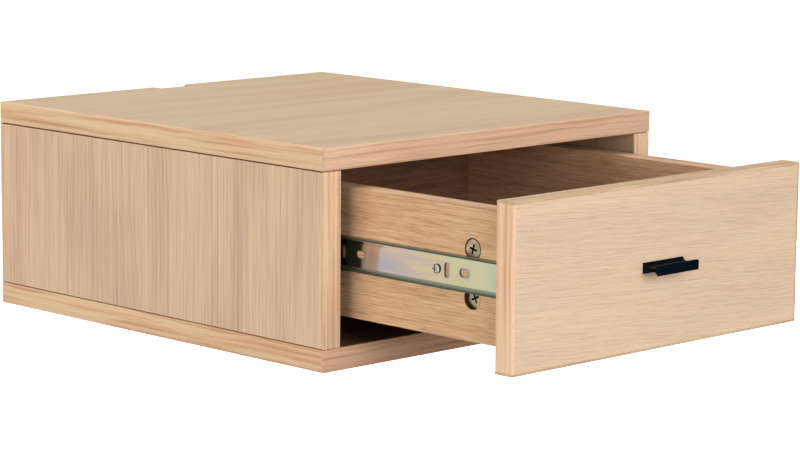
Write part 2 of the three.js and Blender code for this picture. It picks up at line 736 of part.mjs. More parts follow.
const handleBar = prism(handleOutline(), alongX, -handleLength / 2, handleLength / 2);
const handleBores = handleScrews.map((x) => rod(handleScrewShank + 2 * screwSlack,
  handleScrewBite + screwSlack + overrun, [0, -1, 0], [x, -depth + overrun, frontMiddle]));
piece(drawer, "handle", blackMetal, less(handleBar, ...handleBores));
handleScrews.forEach((x, i) => {
  const body = screw([0, 1, 0], [x, frontBack, frontMiddle], handleScrewHead, handleScrewHeadHeight,
    handleScrewShank, board + handleScrewBite, panCross);
  piece(drawer, `handle_screw_${i === 0 ? "left" : "right"}`, screwSteel, body);
});

export default nightstand;
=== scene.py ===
# Wall-hung oak nightstand with its drawer pulled out, in a plain white studio.
# Lengths are in metres, in the model's own frame: +Z up, front towards -Y, wall at y = 0.

import math

import bpy
from mathutils import Euler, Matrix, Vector


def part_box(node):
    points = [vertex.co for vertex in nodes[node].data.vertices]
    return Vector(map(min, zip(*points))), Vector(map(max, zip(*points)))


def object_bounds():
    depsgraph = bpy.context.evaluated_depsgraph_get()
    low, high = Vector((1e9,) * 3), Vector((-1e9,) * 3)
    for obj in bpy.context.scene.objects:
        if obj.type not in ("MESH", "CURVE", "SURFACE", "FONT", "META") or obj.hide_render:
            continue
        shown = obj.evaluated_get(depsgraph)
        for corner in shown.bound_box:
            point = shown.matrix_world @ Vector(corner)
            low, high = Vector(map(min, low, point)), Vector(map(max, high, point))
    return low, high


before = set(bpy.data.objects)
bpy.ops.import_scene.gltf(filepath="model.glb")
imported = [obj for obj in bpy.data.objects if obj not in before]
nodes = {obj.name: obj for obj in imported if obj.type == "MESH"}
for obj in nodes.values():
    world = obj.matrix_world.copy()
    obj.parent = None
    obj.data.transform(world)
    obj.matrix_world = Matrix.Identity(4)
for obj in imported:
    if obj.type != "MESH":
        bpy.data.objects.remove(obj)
cad_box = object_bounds()

MM = 0.001
SIDES = ("left", "right")
# Way along X from each side to the middle
INWARD = {"left": 1, "right": -1}

# The sRGB curve: straight up to its knee, then a power
TOP_LEVEL = 255
SRGB_KNEE = 0.04045
SRGB_FOOT = 12.92
SRGB_OFFSET = 0.055
SRGB_POWER = 2.4

# Numbers of a Mix node's sockets: the pair that it blends and the blend, of colours and of numbers
MIX_COLOURS = (6, 7)
MIXED_COLOUR = 2
MIX_NUMBERS = (2, 3)
MIXED_NUMBER = 0


def linear(*levels):
    """Linear colour of 8-bit sRGB levels."""
    colour = []
    for level in levels:
        value = level / TOP_LEVEL
        if value <= SRGB_KNEE:
            colour.append(value / SRGB_FOOT)
        else:
            colour.append(((value + SRGB_OFFSET) / (1 + SRGB_OFFSET)) ** SRGB_POWER)
    return tuple(colour)


class Tree:
    """Short calls for the nodes of one node tree."""

    def __init__(self, tree):
        self.tree = tree

    def add(self, kind, **values):
        """New node of a kind, with its settings."""
        made = self.tree.nodes.new(kind)
        for key, value in values.items():
            setattr(made, key, value)
        return made

    def feed(self, socket, value):
        """Links a socket to another one, or sets its value."""
        if isinstance(value, bpy.types.NodeSocket):
            self.tree.links.new(value, socket)
        else:
            socket.default_value = value

    def fill(self, made, **values):
        """Feeds a node's inputs by name, with _ for a space."""
        for key, value in values.items():
            self.feed(made.inputs[key.replace("_", " ")], value)

    def fill_in_order(self, made, *values):
        """Feeds a node's inputs from the first on, and gives its first output."""
        for socket, value in zip(made.inputs, values):
            self.feed(socket, value)
        return made.outputs[0]

    def math(self, operation, *values):
        return self.fill_in_order(self.add("ShaderNodeMath", operation=operation), *values)

    def distance(self, *offsets):
        """Length of two offsets at a right angle."""
        squares = [self.math("POWER", offset, 2.0) for offset in offsets]
        return self.math("SQRT", self.math("ADD", *squares))

    def span(self, value, low, high, to_low=0.0, to_high=1.0):
        """Smooth step of a value from low to high."""
        made = self.add("ShaderNodeMapRange", interpolation_type="SMOOTHSTEP")
        return self.fill_in_order(made, value, low, high, to_low, to_high)

    def vector(self, *values):
        return self.fill_in_order(self.add("ShaderNodeCombineXYZ"), *values)

    def split(self, vector):
        """X, Y and Z of a vector."""
        made = self.add("ShaderNodeSeparateXYZ")
        self.feed(made.inputs[0], vector)
        return dict(zip("XYZ", made.outputs))

    def noise(self, vector, scale=1.0, detail=2.0, roughness=0.5, distortion=0.0):
        made = self.add("ShaderNodeTexNoise")
        self.fill(made, Vector=vector, Scale=scale, Detail=detail)
        self.fill(made, Roughness=roughness, Distortion=distortion)
        return made.outputs["Fac"]

    def mix(self, share, first, second, blend="MIX"):
        """Blend of two colours, each a socket or three numbers."""
        made = self.add("ShaderNodeMix", data_type="RGBA", blend_type=blend)
        self.feed(made.inputs["Factor"], share)
        for key, value in zip(MIX_COLOURS, (first, second)):
            self.feed(made.inputs[key], value if isinstance(value, bpy.types.NodeSocket) else (*value, 1))
        return made.outputs[MIXED_COLOUR]

    def choose(self, share, first, second):
        """Blend of two numbers."""
        made = self.add("ShaderNodeMix")
        self.feed(made.inputs["Factor"], share)
        for key, value in zip(MIX_NUMBERS, (first, second)):
            self.feed(made.inputs[key], value)
        return made.outputs[MIXED_NUMBER]

    def ramp(self, value, *stops):
        """Colours that a value from 0 to 1 runs through, each with its place."""
        made = self.add("ShaderNodeValToRGB")
        elements = made.color_ramp.elements
        while len(elements) < len(stops):
            elements.new(1.0)
        for element, (place, colour) in zip(elements, stops):
            element.position = place
            element.color = (*colour, 1)
        self.feed(made.inputs[0], value)
        return made.outputs[0]


class Look(Tree):
    """A material: its node tree round the Principled shader."""

    def __init__(self, name):
        self.material = bpy.data.materials.new(name)
        self.material.use_nodes = True
        super().__init__(self.material.node_tree)
        self.shader = self.tree.nodes["Principled BSDF"]
        self.place = self.add("ShaderNodeTexCoord")
        self.point = self.place.outputs["Object"]
        self.colour = None

    def axes(self):
        """X, Y and Z of the point, with its body at rest."""
        return self.split(self.point)

    def facing(self):
        """X, Y and Z of the surface's normal, with its body at rest."""
        return self.split(self.place.outputs["Normal"])

    def set(self, **values):
        """Sets the shader's own sockets."""
        self.fill(self.shader, **values)

    def paint(self, colour):
        """Gives the shader a colour, and keeps it for what is laid over it."""
        self.colour = colour
        self.set(Base_Color=colour)

    def bump(self, height, depth, strength):
        made = self.add("ShaderNodeBump")
        self.fill(made, Strength=strength, Distance=depth, Height=height)
        self.set(Normal=made.outputs[0])


def cover(node, look):
    """Gives a node one material."""
    data = nodes[node].data
    data.materials.clear()
    data.materials.append(look.material)


# Wood

# What one step of a seed adds to a figure's place along, across and into the grain
SEED_STEPS = (37.0, 11.0, 5.0)
# Seeds by material
SEEDS = {
    "oak_top": 1, "oak_top_front": 4, "oak_top_left": 6, "oak_top_right": 7,
    "oak_bottom": 2, "oak_bottom_front": 5, "oak_bottom_left": 7, "oak_bottom_right": 8,
    "oak_side_left": 11, "oak_side_right": 12, "oak_side_band_left": 14, "oak_side_band_right": 15,
    "oak_back": 17,
    "oak_drawer_front": 69, "oak_drawer_front_top": 23, "oak_drawer_front_bottom": 24,
    "oak_drawer_front_left": 25, "oak_drawer_front_right": 26,
    "oak_drawer_left": 31, "oak_drawer_right": 32, "oak_drawer_band_left": 34, "oak_drawer_band_right": 35,
    "oak_drawer_back": 37, "oak_drawer_bottom": 38,
    "beech": 51,
}

# Width of each pattern as a share of its depth into the board
INTO_SHARE = 0.2
# Middle of a noise's values, and place of the middle tone
MIDDLE = 0.5
# Detail and roughness of the noise behind each pattern
PATTERN_NOISE = {
    "drift": (2, 0.5), "line": (2, 0.6), "dash": (2, 0.6), "fibre": (1, 0.5), "zone": (2, 0.5),
}
# Shares of a growth ring over which it darkens, and over which it turns light again
RING_DARKENS_SHARES = (0.0, 0.75)
RING_LIGHTENS_SHARES = (1.0, 0.85)
# Values of the broad zones between which the rings come in, and between which the zones' tint does
RING_ZONES = (0.35, 0.65)
TINT_ZONES = (0.4, 0.7)
LACQUER_ROUGHNESS = 0.44
FIBRE_ROUGHNESS = 0.16
LACQUER_SPECULAR = 0.3
PORE_DEPTH = 0.1 * MM
PORE_STRENGTH = 0.5

# Light, middle and dark tone, and what the broad zones multiply them by
TOP_TONES = (linear(222, 197, 163), linear(211, 184, 151), linear(196, 167, 134), (0.90, 0.87, 0.85))
SIDE_TONES = (linear(241, 207, 174), linear(223, 189, 157), linear(196, 160, 130), (0.85, 0.81, 0.88))
FRONT_TONES = (linear(238, 210, 177), linear(229, 198, 164), linear(207, 173, 139), (0.92, 0.91, 0.98))
BAND_TONES = (linear(238, 206, 168), linear(228, 190, 153), linear(204, 162, 128), (0.94, 0.83, 0.80))
PALE_BAND_TONES = (linear(248, 214, 177), linear(238, 198, 162), linear(214, 170, 136), (0.94, 0.83, 0.80))
HIGH_BAND_TONES = (linear(227, 189, 157), linear(215, 175, 144), linear(196, 153, 123), (0.98, 0.93, 0.92))
# Lighter copy of the band tones for the bottom panel's front band: painted light where the drawer shades it
PAINTED_LIGHT_LOW_BAND_TONES = (linear(232, 186, 151), linear(221, 172, 139), linear(202, 154, 122), (0.95, 0.86, 0.82))
FRONT_BAND_TONES = (linear(218, 190, 150), linear(205, 173, 136), linear(183, 149, 116), (0.94, 0.89, 0.86))
DRAWER_TONES = (linear(236, 197, 157), linear(216, 174, 134), linear(170, 128, 93), (0.93, 0.86, 0.85))
# Darker copy of the drawer's tones on the drawer sides' top edges: painted shade
SHADED_DRAWER_BAND_TONES = (linear(222, 185, 148), linear(203, 164, 127), linear(160, 120, 88), (0.93, 0.86, 0.85))
# Darker copies of the drawer's tones on its back and its bottom: painted shade of the drawer's inside
SHADED_DRAWER_BACK_TONES = (linear(156, 114, 86), linear(132, 94, 68), linear(99, 67, 49), (0.84, 0.80, 0.78))
SHADED_DRAWER_FLOOR_TONES = (linear(184, 146, 112), linear(162, 125, 94), linear(130, 96, 70), (0.93, 0.88, 0.86))
DOWEL_TONES = (linear(224, 196, 150), linear(210, 178, 130), linear(186, 150, 104), linear(206, 172, 126))

# Painted shade: what an inner face's tones are multiplied by
DEEP_SHADE = (0.28, 0.31, 0.33)
FLOOR_SHADE = (0.31, 0.26, 0.19)
INNER_SIDE_SHADES = {"left": DEEP_SHADE, "right": (0.72, 0.68, 0.60)}
DRAWER_SHADE = (0.97, 0.97, 1.0)
# Painted shadow in the joint gaps over and under the side panels
JOINT_SHADOW_TONE = linear(126, 84, 48)
# Painted shade in the bores round the cam locks
BORE_SHADE_TONE = linear(66, 44, 30)

# Each pattern's size in millimetres along and across the grain, and its share in the figure. drift
# sways the others within drift_height, and lean is their slope to the board's edges. Growth rings
# are ellipses round arc_at, arc_step apart across the grain, and arc_opening is their width as a
# share of their length.
PLAIN_GRAIN = {
    "drift": (90.0, 26.0), "drift_height": 5.0,
    "line": (70.0, 1.1), "line_share": 1.3,
    "dash": (14.0, 1.0), "dash_share": 0.6,
    "fibre": (4.0, 0.5), "fibre_share": 0.4,
    "zone": (120.0, 18.0), "zone_share": 0.5,
    "arc_at": (0.0, 60.0), "arc_opening": 0.12, "arc_step": 9.0, "arc_share": 0.15,
    "lean": 0.0,
}
TOP_GRAIN = {
    **PLAIN_GRAIN,
    "line": (160.0, 3.0), "line_share": 0.35, "dash_share": 0.2, "fibre_share": 0.2,
    "zone": (300.0, 36.0), "zone_share": 0.8,
}
SIDE_GRAIN = {
    **PLAIN_GRAIN,
    "drift": (90.0, 40.0), "drift_height": 4.0,
    "line": (150.0, 1.05), "line_share": 1.5, "dash": (32.0, 0.8), "dash_share": 1.0, "fibre_share": 0.15,
    "zone": (150.0, 30.0), "zone_share": 0.45,
    "arc_at": (60.0, -190.0), "arc_opening": 0.14, "arc_step": 5.0, "arc_share": 0.2,
}
FRONT_GRAIN = {
    **PLAIN_GRAIN,
    "drift": (55.0, 14.0), "drift_height": 2.2,
    "line": (64.0, 0.6), "line_share": 1.35, "dash": (20.0, 0.55), "dash_share": 1.35,
    "zone": (190.0, 40.0), "zone_share": 0.6,
    "arc_share": 0.0, "lean": 0.055,
}
DRAWER_GRAIN = {
    **PLAIN_GRAIN,
    "drift_height": 3.0,
    "line": (60.0, 0.7), "line_share": 1.5, "dash": (18.0, 0.65), "dash_share": 1.5,
    "zone": (70.0, 8.0), "zone_share": 0.6,
    "arc_opening": 0.05, "arc_step": 7.0,
}
BAND_GRAIN = {
    **PLAIN_GRAIN,
    "drift": (60.0, 12.0), "drift_height": 4.0,
    "line": (90.0, 1.2), "line_share": 1.4, "dash_share": 0.5, "fibre_share": 0.2,
    "zone": (130.0, 5.0), "zone_share": 1.0,
    "arc_opening": 0.035, "arc_step": 5.0, "arc_share": 0.65,
}
FRONT_BAND_GRAIN = {**BAND_GRAIN, "line": (300.0, 1.6), "line_share": 1.9}
SIDE_BAND_GRAIN = {**BAND_GRAIN, "line_share": 0.7, "zone_share": 0.6}

# Chips of the raw board: two sizes of them, the share of each, and their tones by place on the ramp
FINE_CHIPS = {"scale": 520.0, "detail": 3, "roughness": 0.7}
COARSE_CHIPS = {"scale": 190.0, "detail": 2, "roughness": 0.6}
FINE_CHIPS_SHARE = 0.6
COARSE_CHIPS_SHARE = 0.5
CHIP_TONES = ((0.38, linear(120, 88, 58)), (0.52, linear(178, 144, 102)), (0.68, linear(214, 186, 144)))

# Depth to which an edge or a face of a board has its own look
FACE_SKIN = 0.4 * MM
# How far the painted shadow of a joint gap reaches on to the face of a side panel
JOINT_SHADOW_REACH = 0.4 * MM
# How far the painted shade of a bore reaches past its cam lock
BORE_SHADE_REACH = 0.9 * MM
# Least share of its normal along an axis for a face that looks that way
FACE_ON_SHARE = 0.5


def wood(name, along, across, tones, grain):
    """Lacquered wood. along and across name the axes along and across its grain on the face."""
    look = Look(name)
    axes = look.axes()
    into = ({"X", "Y", "Z"} - {along, across}).pop()
    shift_along, shift_across, shift_into = (SEEDS[name] * step for step in SEED_STEPS)
    length = look.math("MULTIPLY_ADD", axes[along], 1 / MM, shift_along)
    width = look.math("MULTIPLY_ADD", axes[across], 1 / MM, shift_across)
    depth = look.math("MULTIPLY_ADD", axes[into], INTO_SHARE / MM, shift_into)
    if grain["lean"]:
        width = look.math("MULTIPLY_ADD", length, grain["lean"], width)

    def pattern(kind, sway=None):
        """Noise stretched to a pattern's size, bent sideways by sway."""
        long, wide = grain[kind]
        bent = width if sway is None else look.math("ADD", width, sway)
        sizes = ((length, long), (bent, wide), (depth, wide))
        place = look.vector(*(look.math("DIVIDE", part, size) for part, size in sizes))
        detail, roughness = PATTERN_NOISE[kind]
        return look.noise(place, detail=detail, roughness=roughness)

    def centred(value, share):
        return look.math("MULTIPLY", look.math("SUBTRACT", value, MIDDLE), share)

    drift = centred(pattern("drift"), grain["drift_height"])
    lines, dashes, fibres, zones = (pattern(kind, drift) for kind in ("line", "dash", "fibre", "zone"))

    arc_along, arc_across = grain["arc_at"]
    off_along = look.math("SUBTRACT", length, arc_along + shift_along)
    off_along = look.math("MULTIPLY", off_along, grain["arc_opening"])
    off_across = look.math("SUBTRACT", look.math("ADD", width, drift), arc_across + shift_across)
    ring = look.math("FRACT", look.math("DIVIDE", look.distance(off_across, off_along), grain["arc_step"]))
    darkens = look.span(ring, *RING_DARKENS_SHARES)
    lightens = look.span(ring, *RING_LIGHTENS_SHARES)
    late = look.math("MULTIPLY", look.math("MULTIPLY", darkens, lightens), look.span(zones, *RING_ZONES))

    figure = MIDDLE
    for value, kind in ((lines, "line"), (dashes, "dash"), (fibres, "fibre"), (late, "arc")):
        figure = look.math("ADD", centred(value, grain[f"{kind}_share"]), figure)
    light, middle, dark, tint = tones
    colour = look.ramp(figure, (0.0, light), (MIDDLE, middle), (1.0, dark))
    tinted = look.math("MULTIPLY", look.span(zones, *TINT_ZONES), grain["zone_share"])
    look.paint(look.mix(tinted, colour, tint, "MULTIPLY"))
    look.set(Roughness=look.math("MULTIPLY_ADD", fibres, FIBRE_ROUGHNESS, LACQUER_ROUGHNESS))
    look.set(Specular_IOR_Level=LACQUER_SPECULAR)
    look.bump(look.math("ADD", fibres, dashes), PORE_DEPTH, PORE_STRENGTH)
    return look


def bare_core(look, rear):
    """Shows the raw chipboard of a board behind a place on Y."""
    fine = look.noise(look.point, **FINE_CHIPS)
    coarse = look.math("MULTIPLY", look.noise(look.point, **COARSE_CHIPS), COARSE_CHIPS_SHARE)
    chips = look.math("MULTIPLY_ADD", fine, FINE_CHIPS_SHARE, coarse)
    behind = look.math("GREATER_THAN", look.axes()["Y"], rear)
    look.paint(look.mix(behind, look.colour, look.ramp(chips, *CHIP_TONES)))


def paint_inner_shade(look, axis, way, shade):
    """Paints shade on the faces that look one way, 1 or -1, along an axis."""
    inner = look.math("GREATER_THAN", look.math("MULTIPLY", look.facing()[axis], way), FACE_ON_SHARE)
    look.paint(look.mix(inner, look.colour, shade, "MULTIPLY"))


def paint_joint_shadows(look, low, high):
    """Paints shadow in the gaps over and under a side panel, which lie past low and high, and on the face
    next to them.
    """
    height = look.axes()["Z"]
    above = look.math("GREATER_THAN", height, high - JOINT_SHADOW_REACH)
    below = look.math("LESS_THAN", height, low + JOINT_SHADOW_REACH)
    look.paint(look.mix(look.math("MAXIMUM", above, below), look.colour, JOINT_SHADOW_TONE))


def paint_bore_shade(look, side):
    """Paints shade on the walls of the bores round the cam locks, but not on the drawer side's inner face.
    """
    axes = look.axes()
    inner_face = min(abs(corner.x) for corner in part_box(f"drawer_side_{side}"))
    off_inside = look.math("GREATER_THAN", look.math("ABSOLUTE", axes["X"]), inner_face + FACE_SKIN)
    for level in ("lower", "upper"):
        low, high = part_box(f"cam_{side}_{level}")
        middle = (low + high) / 2
        off_y = look.math("SUBTRACT", axes["Y"], middle.y)
        off_z = look.math("SUBTRACT", axes["Z"], middle.z)
        within = look.math("LESS_THAN", look.distance(off_y, off_z), (high.z - low.z) / 2 + BORE_SHADE_REACH)
        look.paint(look.mix(look.math("MULTIPLY", within, off_inside), look.colour, BORE_SHADE_TONE))


def dress_carcass():
    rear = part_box("top_panel")[1].y - FACE_SKIN
    levels = (("top", -1, DEEP_SHADE, HIGH_BAND_TONES), ("bottom", 1, FLOOR_SHADE, PAINTED_LIGHT_LOW_BAND_TONES))
    for level, inward, shade, band_tones in levels:
        panel = wood(f"oak_{level}", "X", "Y", TOP_TONES, TOP_GRAIN)
        bare_core(panel, rear)
        paint_inner_shade(panel, "Z", inward, shade)
        cover(f"{level}_panel", panel)
        cover(f"{level}_band_front", wood(f"oak_{level}_front", "X", "Z", band_tones, BAND_GRAIN))
        for side in SIDES:
            cover(f"{level}_band_{side}", wood(f"oak_{level}_{side}", "Y", "Z", BAND_TONES, BAND_GRAIN))
    for side, band_tones in zip(SIDES, (BAND_TONES, PALE_BAND_TONES)):
        panel = wood(f"oak_side_{side}", "Z", "Y", SIDE_TONES, SIDE_GRAIN)
        bare_core(panel, rear)
        paint_inner_shade(panel, "X", INWARD[side], INNER_SIDE_SHADES[side])
        band_low, band_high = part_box(f"side_band_{side}")
        paint_joint_shadows(panel, band_low.z, band_high.z)
        cover(f"side_panel_{side}", panel)
        cover(f"side_band_{side}", wood(f"oak_side_band_{side}", "Z", "X", band_tones, SIDE_BAND_GRAIN))
    back = wood("oak_back", "X", "Z", TOP_TONES, TOP_GRAIN)
    paint_inner_shade(back, "Y", -1, DEEP_SHADE)
    cover("back_panel", back)


def dress_drawer():
    cover("drawer_front", wood("oak_drawer_front", "X", "Z", FRONT_TONES, FRONT_GRAIN))
    edges = (
        ("top", "X", FRONT_BAND_TONES), ("bottom", "X", FRONT_BAND_TONES),
        ("left", "Z", PALE_BAND_TONES), ("right", "Z", FRONT_BAND_TONES),
    )
    for edge, along, tones in edges:
        band = wood(f"oak_drawer_front_{edge}", along, "Y", tones, FRONT_BAND_GRAIN)
        cover(f"drawer_front_band_{edge}", band)
    for side in SIDES:
        panel = wood(f"oak_drawer_{side}", "Y", "Z", DRAWER_TONES, DRAWER_GRAIN)
        paint_inner_shade(panel, "X", INWARD[side], DRAWER_SHADE)
        paint_bore_shade(panel, side)
        cover(f"drawer_side_{side}", panel)
        band = wood(f"oak_drawer_band_{side}", "Y", "X", SHADED_DRAWER_BAND_TONES, BAND_GRAIN)
        cover(f"drawer_side_band_{side}", band)
    cover("drawer_back", wood("oak_drawer_back", "X", "Z", SHADED_DRAWER_BACK_TONES, DRAWER_GRAIN))
    cover("drawer_bottom", wood("oak_drawer_bottom", "X", "Y", SHADED_DRAWER_FLOOR_TONES, DRAWER_GRAIN))


# Metal

GRIME = {"scale": 420.0, "detail": 3}
GRIME_DEPTH = 0.04 * MM
GRIME_STRENGTH = 0.25

# Patches of zinc's passivation: how many per metre of Y, of Z and of X, and the places on the ramp
# of their first and last tone
PATCH_SCALES = (12.0, 55.0, 20.0)
PATCH_NOISE = {"detail": 2, "roughness": 0.45, "distortion": 0.4}
PATCH_PLACES = (0.3, 0.7)
PATCH_GRIME_ROUGHNESS = 0.08

STEEL_TONES = (linear(172, 170, 160), linear(204, 202, 192))
STEEL_ROUGHNESS = 0.34
CAGE_TONES = (linear(170, 172, 170), linear(200, 202, 200))
CAGE_ROUGHNESS = 0.22

# Pan heads: the painted shade on the walls comes in between two values of the normal's X
HEAD_ROUGHNESS = 0.32
HEAD_WALL_SHADE_TONE = linear(72, 74, 64)
HEAD_WALL_TURN = (0.75, 0.45)

CAM_TONES = (linear(138, 122, 93), linear(216, 198, 162))
CAM_ROUGHNESS = 0.3
CAM_PATCH_SCALES = (90.0, 120.0, 20.0)
# Painted shade in a cam's cross and mouth, deeper than its face
CAM_RECESS_SHADE_TONE = linear(34, 28, 22)
CAM_FACE_SKIN = 0.3 * MM

# Web of the slides: tones by millimetres behind the member's front end
WEB_STOPS = (
    (0.0, linear(172, 188, 184)), (9.0, linear(192, 197, 172)), (20.0, linear(206, 201, 162)),
    (48.0, linear(210, 200, 156)), (72.0, linear(214, 194, 156)), (92.0, linear(208, 186, 166)),
    (112.0, linear(196, 180, 174)), (140.0, linear(182, 174, 180)), (162.0, linear(170, 184, 190)),
    (190.0, linear(170, 190, 200)), (215.0, linear(206, 196, 158)), (280.0, linear(180, 168, 178)),
    (350.0, linear(194, 192, 162)),
)
# Streaks that drift the tones along the web: how many per metre of Y, of Z and of X, their slope,
# the millimetres that they drift the tones within, and the stretch over which they set in
STREAK_SCALES = (11.0, 100.0, 8.0)
STREAK_NOISE = {"detail": 2, "roughness": 0.5, "distortion": 0.5}
STREAK_LEAN = 0.02
STREAK_REACH = 180.0
STREAK_SETS_IN = (12.0, 60.0)
WEB_ROUGHNESS = 0.08
WEB_GRIME_ROUGHNESS = 0.06

# Depth of the web's look, just over the sheet's thickness
WEB_SKIN = 1.35 * MM

# Bends of the slides, whose greyer tones are painted shade. A painted highlight comes in and goes again
# between pairs of the normal's Z.
SHADED_BEND_TONES = (linear(134, 146, 132), linear(150, 162, 148))
BEND_EXTRA_ROUGHNESS = 0.33
CREST_HIGHLIGHT_TONE = linear(222, 226, 210)
HIGHLIGHT_RISES = (-0.15, -0.3)
HIGHLIGHT_FALLS = (-0.75, -0.6)

# Sheared edges, at the ends of the bends, with painted shade in their darker tone
SHEARED_SKIN = 0.1 * MM
SHEARED_SHADE_TONE = linear(84, 90, 78)
SHEARED_EXTRA_ROUGHNESS = 0.1

# Slots of the drawer members' webs: ahead of the screw, half of the straight stretch along and up,
# radius. A pale ring and a dark rim of painted shade come in between two distances outside a slot.
SLOT_PITCH = 112 * MM
OVAL_SLOT = (29.25 * MM, 2.125 * MM, 0.0, 3.0 * MM)
UPRIGHT_SLOT = (10.5 * MM, 0.0, 3.375 * MM, 2.125 * MM)
SLOT_RING_TONE = linear(178, 190, 186)
SLOT_RING_REACH = (5 * MM, 0.5 * MM)
SLOT_RING_SHARE = 0.5
SLOT_RIM_SHADE_TONE = linear(112, 102, 82)
SLOT_RIM_REACH = (0.9 * MM, 0.3 * MM)
SLOT_RIM_SHARE = 0.6
# Painted shade on the web's faces that look across it, such as the slots' walls
SLOT_WALL_SHADE_TONE = linear(104, 92, 72)

BLACK_TONES = (linear(0, 7, 17), linear(2, 13, 27))
BLACK_SCALE = 2600.0
BLACK_ROUGHNESS = 0.38
BLACK_POWDER_ROUGHNESS = 0.12
BLACK_SPECULAR = 0.06
BLACK_DEPTH = 0.05 * MM
BLACK_STRENGTH = 0.5


def zinc(name, tones, roughness, scales=PATCH_SCALES):
    """Bright zinc with a passivation that drifts between tones."""
    look = Look(name)
    axes = look.axes()
    place = look.vector(*(look.math("MULTIPLY", axes[axis], scale) for axis, scale in zip("YZX", scales)))
    first, last = PATCH_PLACES
    pitch = (last - first) / (len(tones) - 1)
    stops = [(first + pitch * i, tone) for i, tone in enumerate(tones)]
    look.paint(look.ramp(look.noise(place, **PATCH_NOISE), *stops))
    grime = look.noise(look.point, **GRIME)
    look.set(Metallic=1.0, Roughness=look.math("MULTIPLY_ADD", grime, PATCH_GRIME_ROUGHNESS, roughness))
    look.bump(grime, GRIME_DEPTH, GRIME_STRENGTH)
    return look


def tint_slots(look, web):
    """Paints shade on the rims of the drawer members' slots and pales the steel round them."""
    axes = look.axes()
    screw_low, screw_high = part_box("drawer_screw_left_front")
    screw = (screw_low + screw_high) / 2
    from_screw = look.math("SUBTRACT", axes["Y"], screw.y - SLOT_PITCH / 2)
    from_screw = look.math("SUBTRACT", look.math("FLOORED_MODULO", from_screw, SLOT_PITCH), SLOT_PITCH / 2)
    up = look.math("SUBTRACT", axes["Z"], screw.z)

    def off_slot(ahead, half_y, half_z, radius):
        """Distance outside a slot with round ends."""
        along = look.math("ABSOLUTE", look.math("ADD", from_screw, ahead))
        past_y = look.math("MAXIMUM", look.math("SUBTRACT", along, half_y), 0.0)
        past_z = look.math("MAXIMUM", look.math("SUBTRACT", look.math("ABSOLUTE", up), half_z), 0.0)
        return look.math("SUBTRACT", look.distance(past_y, past_z), radius)

    off = look.math("MINIMUM", off_slot(*OVAL_SLOT), off_slot(*UPRIGHT_SLOT))
    ring = look.math("MULTIPLY", look.span(off, *SLOT_RING_REACH), SLOT_RING_SHARE)
    web = look.mix(ring, web, SLOT_RING_TONE)
    # Dark rim of painted shade round each slot
    rim = look.math("MULTIPLY", look.span(off, *SLOT_RIM_REACH), SLOT_RIM_SHARE)
    return look.mix(rim, web, SLOT_RIM_SHADE_TONE)


def web_zinc(look, front):
    """Passivation that changes from one tone to the next along a slide's web."""
    axes = look.axes()
    leaned = look.math("MULTIPLY_ADD", axes["Y"], STREAK_LEAN, axes["Z"])
    outward = look.math("ABSOLUTE", axes["X"])
    parts = zip((axes["Y"], leaned, outward), STREAK_SCALES)
    place = look.vector(*(look.math("MULTIPLY", part, scale) for part, scale in parts))
    streaks = look.math("SUBTRACT", look.noise(place, **STREAK_NOISE), MIDDLE)
    along = look.math("MULTIPLY", look.math("SUBTRACT", axes["Y"], front), 1 / MM)
    reach = look.math("MULTIPLY", look.span(along, *STREAK_SETS_IN), STREAK_REACH)
    along = look.math("ADD", along, look.math("MULTIPLY", streaks, reach))
    length = WEB_STOPS[-1][0]
    return look.ramp(look.math("DIVIDE", along, length), *[(at / length, tone) for at, tone in WEB_STOPS])


def slide_zinc(kind):
    """Slide steel: a drifting passivation on the web; duller bends and sheared edges, greyer with painted
    shade; a painted highlight on the drawer members' bends.
    """
    look = Look(f"{kind}_slide_zinc")
    facing = look.facing()
    outward = look.math("ABSOLUTE", look.axes()["X"])
    low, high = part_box(f"{kind}_member_left")
    near, far = sorted((abs(low.x), abs(high.x)))
    is_drawer = kind == "drawer"
    if is_drawer:
        off_back = look.math("SUBTRACT", outward, near)
    else:
        off_back = look.math("SUBTRACT", far, outward)

    web = web_zinc(look, low.y)
    if is_drawer:
        web = tint_slots(look, web)
    # Painted shade on the faces across the web
    wall = look.math("LESS_THAN", look.math("ABSOLUTE", facing["X"]), FACE_ON_SHARE)
    web = look.mix(wall, web, SLOT_WALL_SHADE_TONE)

    grime = look.noise(look.point, **GRIME)
    # Greyer tones of the bends: painted shade
    bend = look.mix(grime, *SHADED_BEND_TONES)
    if is_drawer:
        # Painted highlight on the drawer members' bends, on faces that slope downward
        rises, falls = (look.span(facing["Z"], *ends) for ends in (HIGHLIGHT_RISES, HIGHLIGHT_FALLS))
        bend = look.mix(look.math("MULTIPLY", rises, falls), bend, CREST_HIGHLIGHT_TONE)
    off_web = look.math("GREATER_THAN", off_back, WEB_SKIN)
    # Darker tone of the sheared edges: painted shade
    sheared = look.math("GREATER_THAN", off_back, far - near - SHEARED_SKIN)
    look.paint(look.mix(sheared, look.mix(off_web, web, bend), SHEARED_SHADE_TONE))
    rough = look.math("MULTIPLY_ADD", grime, WEB_GRIME_ROUGHNESS, WEB_ROUGHNESS)
    rough = look.math("MULTIPLY_ADD", off_web, BEND_EXTRA_ROUGHNESS, rough)
    rough = look.math("MULTIPLY_ADD", sheared, SHEARED_EXTRA_ROUGHNESS, rough)
    look.set(Metallic=1.0, Roughness=rough)
    look.bump(grime, GRIME_DEPTH, GRIME_STRENGTH)
    return look


def pan_steel():
    """Plated pan heads whose walls carry painted shade, darker than their crowns."""
    look = zinc("pan_steel", STEEL_TONES, HEAD_ROUGHNESS)
    # Painted shade on the head's walls
    wall = look.span(look.math("ABSOLUTE", look.facing()["X"]), *HEAD_WALL_TURN)
    look.paint(look.mix(wall, look.colour, HEAD_WALL_SHADE_TONE))
    return look


